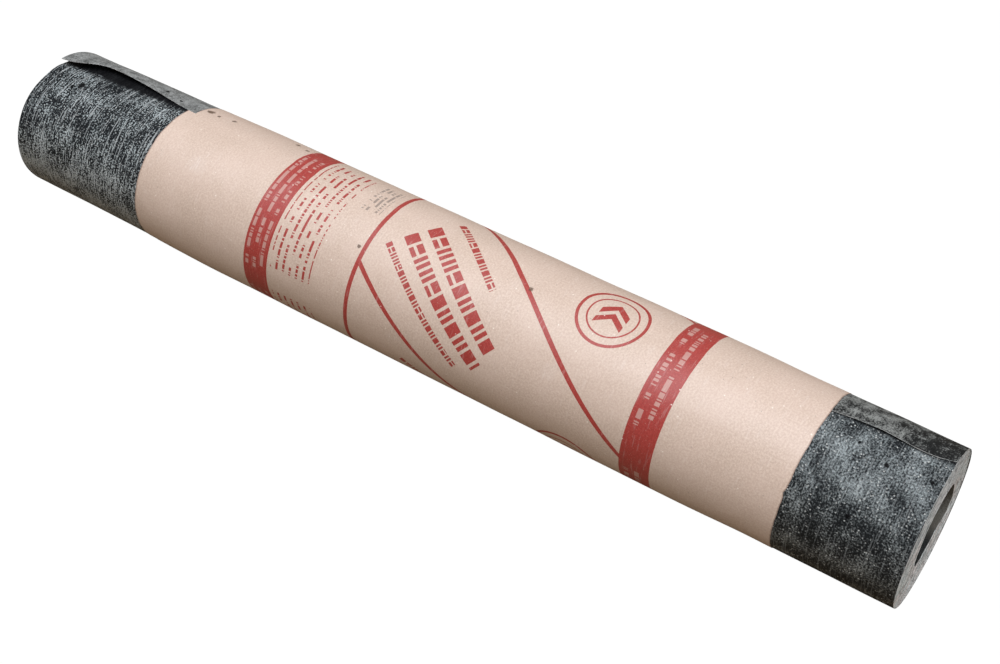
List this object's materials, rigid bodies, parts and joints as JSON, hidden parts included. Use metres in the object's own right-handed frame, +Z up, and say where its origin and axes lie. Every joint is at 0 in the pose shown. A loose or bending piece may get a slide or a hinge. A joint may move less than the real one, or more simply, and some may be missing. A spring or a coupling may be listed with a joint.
{
  "type": "roll of roofing felt",
  "caption": "Roll of dark bitumen roofing felt with an open bore and a loose corner, in a printed kraft paper sleeve, lying on its side.",
  "frame": {"origin": "on the floor, under the middle of the roll as it lies on its side", "axes": "+X along the roll's axis, towards the end away from the loose corner, +Y towards the back, where the outer turn runs on from its free edge, +Z up"},
  "size_m": [1, 0.1534, 0.1528],
  "materials": {
    "felt": "charcoal bitumen-saturated felt with pale mineral dust, fine scratches round the roll and dusty grey ends",
    "kraft_paper": "creased, slightly waxy kraft paper with plain red bands, faded print and small stains"
  },
  "bodies": {
    "root": {"felt_roll": "felt", "paper_wrapper": "kraft_paper"}
  },
  "joints": []
}
